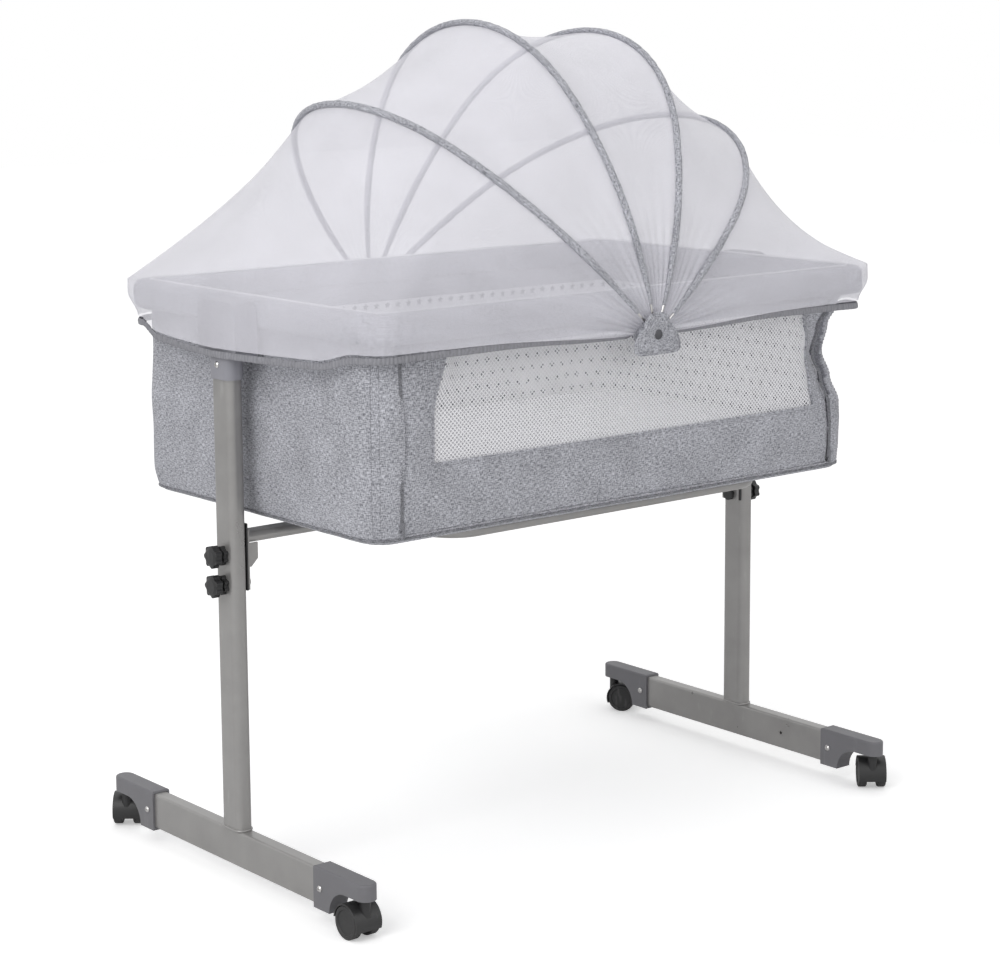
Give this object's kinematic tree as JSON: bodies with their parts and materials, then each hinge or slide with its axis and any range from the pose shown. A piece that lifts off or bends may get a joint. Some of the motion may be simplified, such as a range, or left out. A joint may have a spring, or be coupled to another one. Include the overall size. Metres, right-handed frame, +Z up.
{
  "type": "bedside sleeper crib",
  "caption": "Cloth bedside bassinet with mesh window and drop side, on a steel stand with casters, under a fan-folding net canopy.",
  "frame": {"origin": "on the floor, under the middle of the bassinet", "axes": "+X along the bassinet from left to right, -Y the side with the mesh window, +Z up"},
  "size_m": [0.9211, 0.5957, 1.0379],
  "materials": {
    "frame_paint": "satin",
    "end_plastic": "matte",
    "black_plastic": "matte",
    "wheel_plastic": "matte",
    "bright_steel": "polished",
    "grey_cloth": "heathered weave",
    "rim_cloth": "woven",
    "star_cloth": "printed with small stars",
    "white_mesh": "open mesh",
    "white_net": "sheer net",
    "hem_elastic": "elastic band",
    "zip_tape": "zip",
    "board_wood": "raw fibreboard",
    "mattress_cloth": "quilted"
  },
  "bodies": {
    "stand": {"left_foot_tube": "frame_paint", "left_post": "frame_paint", "left_rim_bracket": "end_plastic", "left_end_plate": "frame_paint", "right_foot_tube": "frame_paint", "right_post": "frame_paint", "right_rim_bracket": "end_plastic", "right_end_plate": "frame_paint", "left_front_toe_cap": "end_plastic", "left_back_toe_cap": "end_plastic", "right_front_toe_cap": "end_plastic", "right_back_toe_cap": "end_plastic", "stand_screws": "bright_steel", "caster_stems": "bright_steel", "guide_strips": "black_plastic", "clamp_bolts": "bright_steel", "centre_beam": "frame_paint", "base_loop_tube": "frame_paint", "rim_tube": "frame_paint", "rim_padding": "rim_cloth", "bassinet_shell": "grey_cloth", "panel_zips": "zip_tape", "star_lining": "star_cloth", "base_board": "board_wood", "mattress": "mattress_cloth", "hub_patches": "grey_cloth", "hub_rivets": "bright_steel", "net_left_hem": "hem_elastic"},
    "left_front_caster_fork": {"left_front_caster_hood": "black_plastic"},
    "left_front_wheel_pair": {"left_front_caster_axle": "bright_steel", "left_front_caster_wheels": "wheel_plastic"},
    "left_back_caster_fork": {"left_back_caster_hood": "black_plastic"},
    "left_back_wheel_pair": {"left_back_caster_axle": "bright_steel", "left_back_caster_wheels": "wheel_plastic"},
    "right_front_caster_fork": {"right_front_caster_hood": "black_plastic"},
    "right_front_wheel_pair": {"right_front_caster_axle": "bright_steel", "right_front_caster_wheels": "wheel_plastic"},
    "right_back_caster_fork": {"right_back_caster_hood": "black_plastic"},
    "right_back_wheel_pair": {"right_back_caster_axle": "bright_steel", "right_back_caster_wheels": "wheel_plastic"},
    "left_upper_clamp_knob": {"left_upper_knob": "black_plastic"},
    "left_lower_clamp_knob": {"left_lower_knob": "black_plastic"},
    "right_upper_clamp_knob": {"right_upper_knob": "black_plastic"},
    "right_lower_clamp_knob": {"right_lower_knob": "black_plastic"},
    "front_panel": {"drop_panel": "grey_cloth", "mesh_window": "white_mesh"},
    "first_hoop": {"first_hoop_sleeve": "rim_cloth", "first_hoop_wire": "bright_steel", "net_left_skirt": "white_net"},
    "second_hoop": {"second_hoop_sleeve": "rim_cloth", "second_hoop_wire": "bright_steel", "net_first_panel": "white_net"},
    "third_hoop": {"third_hoop_sleeve": "rim_cloth", "third_hoop_wire": "bright_steel", "net_second_panel": "white_net"},
    "fourth_hoop": {"fourth_hoop_sleeve": "rim_cloth", "fourth_hoop_wire": "bright_steel", "net_third_panel": "white_net"},
    "net_edge": {"net_right_skirt": "white_net", "net_right_hem": "hem_elastic"}
  },
  "joints": [
    {"name": "left_front_caster_swivel", "type": "hinge", "parent": "stand", "child": "left_front_caster_fork", "pos_m": [-0.426, -0.262, 0.048], "axis": [0, 0, 1], "continuous": true},
    {"name": "left_front_caster_roll", "type": "hinge", "parent": "left_front_caster_fork", "child": "left_front_wheel_pair", "pos_m": [-0.426, -0.247, 0.02], "axis": [1, 0, 0], "continuous": true},
    {"name": "left_back_caster_swivel", "type": "hinge", "parent": "stand", "child": "left_back_caster_fork", "pos_m": [-0.426, 0.262, 0.048], "axis": [0, 0, 1], "continuous": true},
    {"name": "left_back_caster_roll", "type": "hinge", "parent": "left_back_caster_fork", "child": "left_back_wheel_pair", "pos_m": [-0.41636, 0.27349, 0.02], "axis": [0.766, -0.6428, 0], "continuous": true},
    {"name": "right_front_caster_swivel", "type": "hinge", "parent": "stand", "child": "right_front_caster_fork", "pos_m": [0.426, -0.262, 0.048], "axis": [0, 0, 1], "continuous": true},
    {"name": "right_front_caster_roll", "type": "hinge", "parent": "right_front_caster_fork", "child": "right_front_wheel_pair", "pos_m": [0.43564, -0.25051, 0.02], "axis": [0.766, -0.6428, 0], "continuous": true},
    {"name": "right_back_caster_swivel", "type": "hinge", "parent": "stand", "child": "right_back_caster_fork", "pos_m": [0.426, 0.262, 0.048], "axis": [0, 0, 1], "continuous": true},
    {"name": "right_back_caster_roll", "type": "hinge", "parent": "right_back_caster_fork", "child": "right_back_wheel_pair", "pos_m": [0.4346, 0.24971, 0.02], "axis": [-0.8192, -0.5736, 0], "continuous": true},
    {"name": "left_upper_knob_turn", "type": "hinge", "parent": "stand", "child": "left_upper_clamp_knob", "pos_m": [-0.4371, 0, 0.408], "axis": [-1, 0, 0], "continuous": true},
    {"name": "left_lower_knob_turn", "type": "hinge", "parent": "stand", "child": "left_lower_clamp_knob", "pos_m": [-0.4371, 0, 0.372], "axis": [-1, 0, 0], "continuous": true},
    {"name": "right_upper_knob_turn", "type": "hinge", "parent": "stand", "child": "right_upper_clamp_knob", "pos_m": [0.4371, 0, 0.408], "axis": [1, 0, 0], "continuous": true},
    {"name": "right_lower_knob_turn", "type": "hinge", "parent": "stand", "child": "right_lower_clamp_knob", "pos_m": [0.4371, 0, 0.372], "axis": [1, 0, 0], "continuous": true},
    {"name": "drop_panel_fold", "type": "hinge", "parent": "stand", "child": "front_panel", "pos_m": [0, -0.2453, 0.459], "axis": [1, 0, 0], "range_deg": [0, 165]},
    {"name": "first_hoop_fold", "type": "hinge", "parent": "stand", "child": "first_hoop", "pos_m": [0, 0, 0.664], "axis": [0, 1, 0], "range_deg": [-19, 0], "deforming": ["net_left_skirt"]},
    {"name": "second_hoop_fold", "type": "hinge", "parent": "first_hoop", "child": "second_hoop", "pos_m": [0, 0, 0.664], "axis": [0, 1, 0], "range_deg": [-25.4, 0], "deforming": ["net_first_panel"]},
    {"name": "third_hoop_fold", "type": "hinge", "parent": "second_hoop", "child": "third_hoop", "pos_m": [0, 0, 0.664], "axis": [0, 1, 0], "range_deg": [-22.4, 0], "deforming": ["net_second_panel"]},
    {"name": "fourth_hoop_fold", "type": "hinge", "parent": "third_hoop", "child": "fourth_hoop", "pos_m": [0, 0, 0.664], "axis": [0, 1, 0], "range_deg": [-20.95, 0], "deforming": ["net_third_panel"]},
    {"name": "net_edge_fold", "type": "hinge", "parent": "fourth_hoop", "child": "net_edge", "pos_m": [0, 0, 0.664], "axis": [0, 1, 0], "range_deg": [-36.5, 0], "deforming": ["net_right_skirt", "net_right_hem"]}
  ],
  "couplings": [
    {"joint": "second_hoop_fold", "follows": "first_hoop_fold", "ratio": 1.336},
    {"joint": "third_hoop_fold", "follows": "first_hoop_fold", "ratio": 1.178},
    {"joint": "fourth_hoop_fold", "follows": "first_hoop_fold", "ratio": 1.1},
    {"joint": "net_edge_fold", "follows": "first_hoop_fold", "ratio": 1.92}
  ]
}
